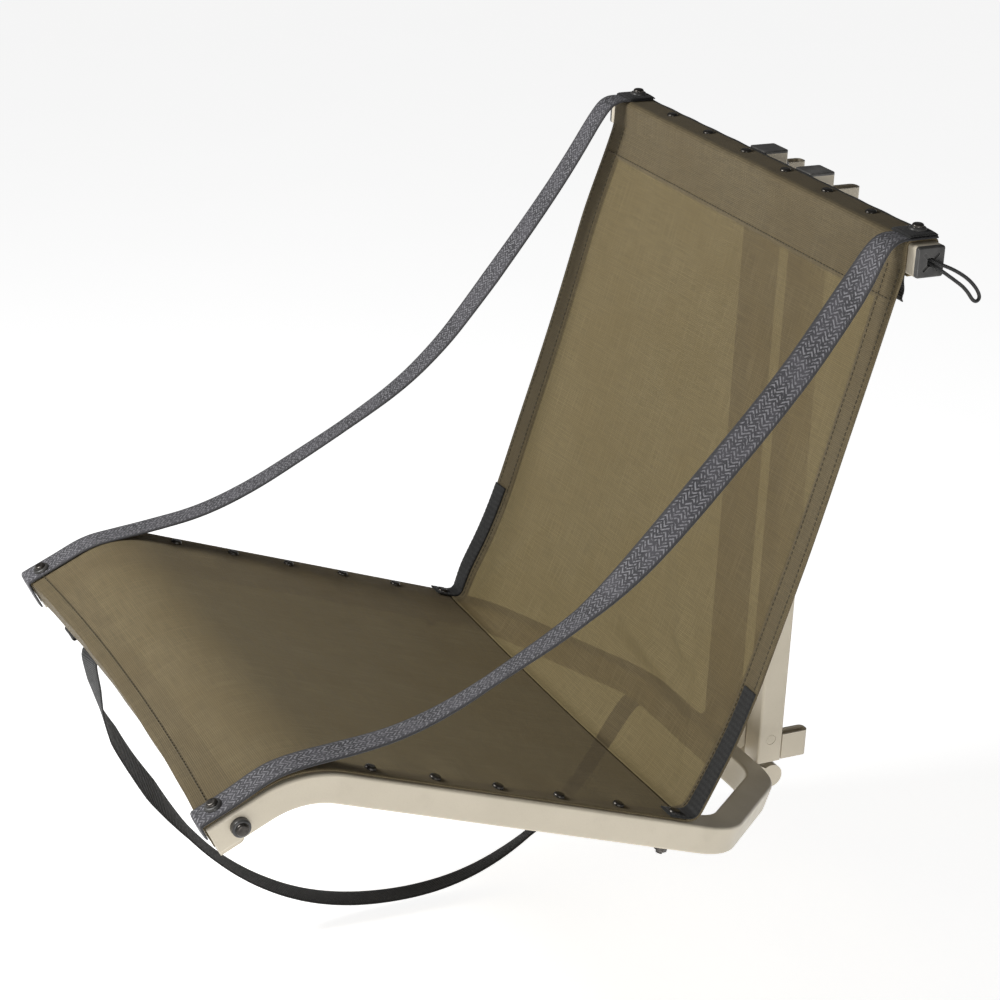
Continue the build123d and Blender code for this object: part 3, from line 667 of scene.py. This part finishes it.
left_line = Line(flow([drop(0.0825, -0.0110), drop(0.0826, 0.0000), drop(0.0827, 0.0130), drop(0.0825, 0.0161),
                       drop(0.0790, 0.0162),
                       drop(0.0680, 0.0160), drop(0.050, 0.0158), drop(0.018, 0.0162), (-0.555, 0.1735),
                       (-0.520, 0.1775), (-0.473, 0.1845), (-0.424, 0.2025), (-0.374, 0.2285), (-0.325, 0.2550),
                       (-0.274, 0.2860), (-0.234, 0.3220), (-0.205, 0.3570), (-0.175, 0.3950),
                       (-0.135, 0.4480), (-0.106, 0.4900), (-0.080, 0.5330), (-0.068, 0.5450),
                       (-0.050, 0.5450), (-0.029, 0.5450)]))
right_line = Line(flow([drop(0.0826, 0.0040), drop(0.0827, 0.0130), drop(0.0825, 0.0161),
                        drop(0.0790, 0.0162), drop(0.0680, 0.0160), drop(0.050, 0.0160),
                        drop(0.018, 0.0185), (-0.557, 0.1775),
                        (-0.516, 0.1800), (-0.475, 0.1850), (-0.433, 0.1985), (-0.391, 0.2195), (-0.340, 0.2460),
                        (-0.306, 0.2680), (-0.273, 0.2960), (-0.239, 0.3310), (-0.206, 0.3670),
                        (-0.173, 0.4030), (-0.140, 0.4420), (-0.116, 0.4750), (-0.092, 0.5100),
                        (-0.077, 0.5370), (-0.066, 0.5450), (-0.050, 0.5450), (-0.029, 0.5450)]))
left_strap = band("left_strap_webbing", left_line, -STRAP_X - 0.002, WEB_WIDTH, SIDE_WEB,
                  finish["grey_webbing"],
                  profile([(0, 0), (0.2, 0), (0.45, 6), (0.7, -6), (0.93, 0), (1, 0)]), step=0.0016)
right_strap = band("right_strap_webbing", right_line, STRAP_X + 0.002, WEB_WIDTH, SIDE_WEB,
                   finish["grey_webbing"],
                   profile([(0, 0), (0.18, 0), (0.34, 13), (0.46, 4), (0.55, -28), (0.64, -50),
                            (0.80, -54), (0.88, -36), (0.94, -6), (0.96, 0), (1, 0)]), step=0.0016)

carry_line = Line(flow([drop(0.045, -0.0158), drop(0.062, -0.0160), drop(0.0735, -0.0165), (-0.6155, 0.1000),
                        (-0.603, 0.040), (-0.541, -0.066), (-0.478, -0.135), (-0.396, -0.180), (-0.296, -0.191),
                        (-0.215, -0.171), (-0.140, -0.116), side(0.0585, -0.0394), side(0.048, -0.0394),
                        side(0.033, -0.0394)]))
carry = band("carry_strap_webbing", carry_line, -0.110, WEB_WIDTH, BLACK_WEB, finish["black_webbing"],
             profile([(0, 0), (0.02, 10), (0.035, 14), (0.07, 10), (0.103, -7), (0.138, -27), (0.18, -29),
                      (0.223, -35), (0.296, -12), (0.346, -8), (0.431, -6), (0.534, 0), (0.637, 8), (0.734, 19),
                      (0.77, 24), (0.85, 10), (0.93, 0), (1, 0)]),
             drift=lambda s: -0.006 + 0.014 * smooth(s / s[-1]))

# cloth corners folded over the open ends of the rails, under the straps
corner_line = Line(flow([drop(0.0700, 0.0143), drop(0.0790, 0.0143), drop(0.0810, 0.0143), drop(0.0810, 0.0120),
                         drop(0.0810, 0.0020), drop(0.0808, -0.0060)]))
corners = [band(f"{word}_front_corner_cloth", corner_line, sx * 0.2335, 0.0230, CLOTH, mesh_doubled,
                step=0.0012)
           for sx, word in ((-1, "left"), (1, "right"))]

# reinforcing strips over the ends of the crease: they follow the cloth's own surface
strips = []
for sx, name in ((-1, "left_crease_webbing"), (1, "right_crease_webbing")):
    c = np.linspace(-1, 1, 11)
    on_seat = np.linspace(0.016, 0.003, 8)
    on_back = np.linspace(0.0025, 0.128, 90)
    rows = []
    for shape, where in ((seat_shape, on_seat), (back_shape, on_back)):
        for value in where:
            cx = sx * 0.235 + c * 0.009
            p, n = shape(cx, np.full(len(c), value))
            rows.append(p + n * (CLOTH / 2 + HEM + 0.0008))
    grid = np.array(rows)
    run = np.concatenate([[0], np.cumsum(np.linalg.norm(np.diff(grid[:, 5], axis=0), axis=1))])
    ribs = 0.0006 * (0.5 + 0.5 * np.cos(run * 2 * pi / 0.0050))[:, None] * (1 - 0.5 * np.abs(c) ** 6)[None, :]
    strips.append(slab(name, grid, 0.0012, [ribbed], ribs))

# black pads over the strap ends on the crossbar
pads = []
for sx in (-1, 1):
    pad_line = Line(flow([(-0.0552, 0.5462), (-0.0545, 0.5472), (-0.0500, 0.5474), (-0.0420, 0.5474),
                          (-0.0340, 0.5474), (-0.0295, 0.5472), (-0.0290, 0.5464)]))
    word = "left" if sx < 0 else "right"
    pads.append(band(f"{word}_strap_end_webbing", pad_line, sx * STRAP_X, 0.027, 0.0017,
                     finish["black_webbing"], step=0.0012, cols=17))

# folded tail under the front hem, and the tail that hangs behind the back's edge
stub_line = Line(flow([drop(0.0490, -0.0158), drop(0.0600, -0.0159), drop(0.0730, -0.0160),
                       drop(0.0768, -0.0164), drop(0.0768, -0.0186), drop(0.0730, -0.0190),
                       drop(0.0600, -0.0186), drop(0.0490, -0.0183)]))
stub = band("front_tail_webbing", stub_line, -0.165, WEB_WIDTH, BLACK_WEB, finish["black_webbing"],
            step=0.0012)
tail_line = Line(flow([(-0.0430, 0.5140), (-0.0440, 0.5060), (-0.0415, 0.4960), (-0.0440, 0.4890),
                       (-0.0420, 0.4870)]))
tail = band("strap_tail_webbing", tail_line, 0.2200, 0.012, 0.0016, finish["black_webbing"], step=0.001)

# ---------------------------------------------------------------- shock cord
route = [(0.239, -0.042, 0.53085), (0.2645, -0.042, 0.53085), (0.2645, -0.022, 0.5225),
         (0.2635, -0.0045, 0.511), (0.2625, 0.0065, 0.4972), (0.2625, 0.0006, 0.4925),
         (0.2635, -0.010, 0.506), (0.2645, -0.0245, 0.516), (0.2645, -0.042, 0.52755),
         (0.239, -0.042, 0.52755)]
curve = bpy.data.curves.new("shock_cord", "CURVE")
curve.dimensions = "3D"
spline = curve.splines.new("NURBS")
spline.points.add(len(route) - 1)
for knot, place in zip(spline.points, route):
    knot.co = (*place, 1)
spline.order_u = 3
spline.use_endpoint_u = True
spline.resolution_u = 12
curve.bevel_depth = 0.0015
curve.bevel_resolution = 5
curve.materials.append(finish["shock_cord"])
loop = bpy.data.objects.new("shock_cord_line", curve)
scene.collection.objects.link(loop)

# ---------------------------------------------------------------- what each piece stands for, and rides on
CREASE_TO_TOP = dict(start=(0, -0.056, 0.516), end=(0, -0.1568, 0.5289))
STRAP_FOLD = dict(start=(0, 0.23423, 0.27494), end=(0, -0.11432, -0.11314))
for piece, nodes, finish_slot, how in (
        (sling_seat, ["sling_seat"], "sling_mesh", "seat_frame"),
        (seat_sleeve, ["sling_seat"], "sling_mesh", "seat_frame"),
        (seat_seam, [], "sling_mesh", "seat_frame"),
        (sling_back, ["sling_back"], "sling_mesh", CREASE_TO_TOP),
        (back_seam, [], "sling_mesh", CREASE_TO_TOP),
        (piping, [], "black_webbing", "back_frame"),
        (left_strap, ["left_side_strap"], "grey_webbing", STRAP_FOLD),
        (right_strap, ["right_side_strap"], "grey_webbing", STRAP_FOLD),
        (carry, ["carry_strap"], "black_webbing", "seat_frame"),
        (strips[0], ["left_crease_strip"], "black_webbing", CREASE_TO_TOP),
        (strips[1], ["right_crease_strip"], "black_webbing", CREASE_TO_TOP),
        (pads[0], ["strap_end_pads"], "black_webbing", "back_frame"),
        (pads[1], ["strap_end_pads"], "black_webbing", "back_frame"),
        (tail, ["strap_tail"], "black_webbing", "back_frame"),
        (stub, ["front_strap_tail"], "black_webbing", "seat_frame"),
        (corners[0], [], "sling_mesh", "seat_frame"),
        (corners[1], [], "sling_mesh", "seat_frame"),
        (loop, ["shock_cord_loop"], "shock_cord", "back_frame")):
    if nodes:
        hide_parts(*nodes)
    if isinstance(how, str):
        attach(piece, how)
    else:
        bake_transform(piece)

# ---------------------------------------------------------------- floor and light
floor_mesh = bpy.data.meshes.new("floor")
floor_mesh.from_pydata([(-40, -40, 0), (40, -40, 0), (40, 40, 0), (-40, 40, 0)], [], [(0, 1, 2, 3)])
floor_mesh.materials.append(floor_material())
floor = bpy.data.objects.new("floor", floor_mesh)
floor.location.z = cad_box[0][2] - 0.012
scene.collection.objects.link(floor)

world = bpy.data.worlds.new("studio")
world.use_nodes = True
world.node_tree.nodes["Background"].inputs[0].default_value = (1.0, 1.0, 1.0, 1)
world.node_tree.nodes["Background"].inputs[1].default_value = 0.12
scene.world = world
for name, place, size, power in (("key", (-0.25, -1.36, 1.00), 0.5, 19), ("side", (2.5, -0.95, 0.30), 1.3, 27)):
    lamp = bpy.data.lights.new(name, "AREA")
    lamp.size = size
    lamp.energy = power
    light = bpy.data.objects.new(name, lamp)
    light.location = place
    light.rotation_euler = (Vector((0, -0.3, 0.2)) - Vector(place)).to_track_quat("-Z", "Y").to_euler()
    scene.collection.objects.link(light)
scene.view_settings.view_transform = "Standard"
